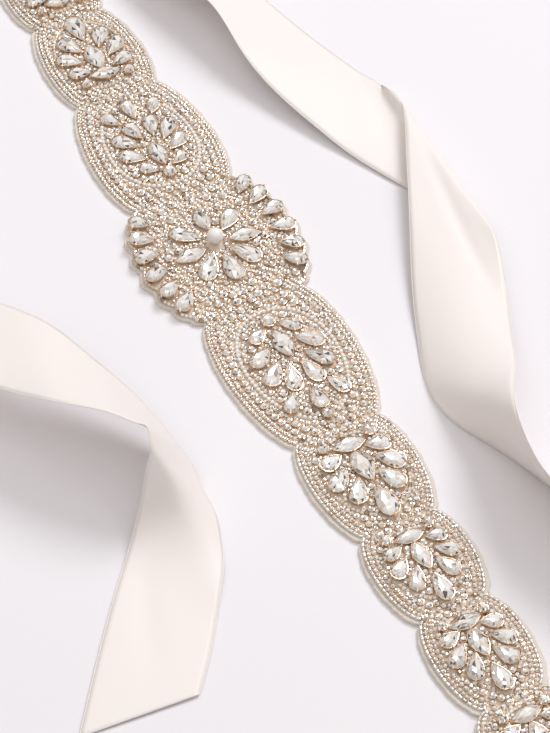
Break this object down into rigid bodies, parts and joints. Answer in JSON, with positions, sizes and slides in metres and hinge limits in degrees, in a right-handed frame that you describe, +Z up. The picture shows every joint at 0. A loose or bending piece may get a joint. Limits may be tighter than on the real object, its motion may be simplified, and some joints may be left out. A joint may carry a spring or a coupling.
{
  "type": "bridal sash",
  "caption": "Beaded bridal sash: a scalloped band of crystals and pearls on cream backing, with a satin ribbon tie sewn to each end, dropped on a surface.",
  "frame": {"origin": "on the medallion's underside, where the backing rests on the surface", "axes": "+X along the beaded band, from the end at the picture's upper left to the end at its lower right; +Z up out of the surface, through the stones"},
  "size_m": [0.7969, 0.2534, 0.0455],
  "materials": {
    "backing_cloth": "matt",
    "beadwork": "crystal, pearl and seed beads",
    "satin_ribbon": "satin"
  },
  "bodies": {
    "root": {"backing": "backing_cloth", "motif_a1": "beadwork", "motif_a2": "beadwork", "motif_a3": "beadwork", "motif_a4": "beadwork", "motif_b1": "beadwork", "motif_b2": "beadwork", "motif_b3": "beadwork", "motif_b4": "beadwork", "motif_big_a": "beadwork", "motif_big_b": "beadwork", "motif_medallion": "beadwork", "tie_a_root": "satin_ribbon", "tie_a_turn_out": "satin_ribbon", "tie_a_turn_back": "satin_ribbon", "tie_a_run_far": "satin_ribbon", "tie_a_run_near": "satin_ribbon", "tie_a_crest": "satin_ribbon", "tie_a_end": "satin_ribbon", "tie_b_root": "satin_ribbon", "tie_b_turn_out": "satin_ribbon", "tie_b_turn_back": "satin_ribbon", "tie_b_return": "satin_ribbon", "tie_b_slope": "satin_ribbon", "tie_b_fold": "satin_ribbon", "tie_b_under": "satin_ribbon"}
  },
  "joints": []
}
